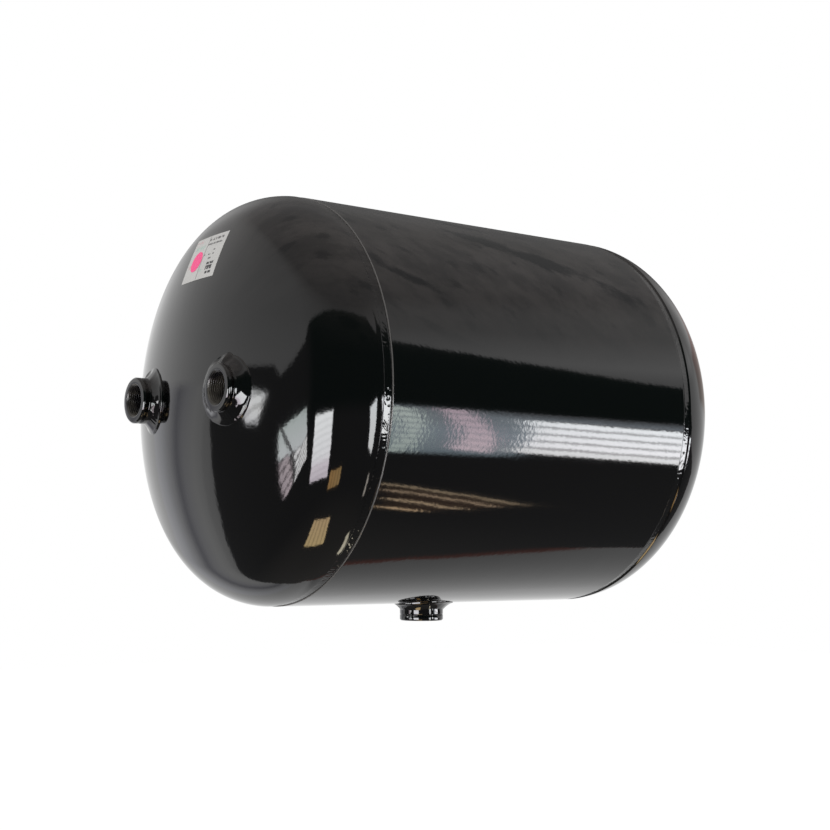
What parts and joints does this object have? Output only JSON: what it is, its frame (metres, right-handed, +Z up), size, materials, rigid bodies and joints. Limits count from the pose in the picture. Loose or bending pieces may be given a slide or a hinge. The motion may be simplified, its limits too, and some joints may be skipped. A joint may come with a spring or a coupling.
{
  "type": "air receiver tank",
  "caption": "Cylindrical steel compressed-air receiver with dished ends, threaded ports on one head and a threaded drain underneath.",
  "frame": {"origin": "on the tank's axis, halfway between the two cut edges of the shell, where the two mounting straps centre", "axes": "X along the tank, -X out of the ported head; +Z up, opposite to the drain; +Y to the left of someone facing the ported head"},
  "size_m": [0.4022, 0.276, 0.2882],
  "materials": {
    "black_coat": "gloss",
    "boss_steel": "gloss",
    "label": "matte",
    "sticker": "matte"
  },
  "bodies": {
    "root": {"shell": "black_coat", "shell_seam_weld": "black_coat", "front_head": "black_coat", "rear_head": "black_coat", "front_girth_weld": "black_coat", "rear_girth_weld": "black_coat", "port_weld_left": "black_coat", "port_weld_right": "black_coat", "drain_weld": "black_coat", "port_boss_left": "boss_steel", "port_boss_right": "boss_steel", "drain_boss": "boss_steel", "rating_label": "label", "inspection_sticker": "sticker"}
  },
  "joints": []
}
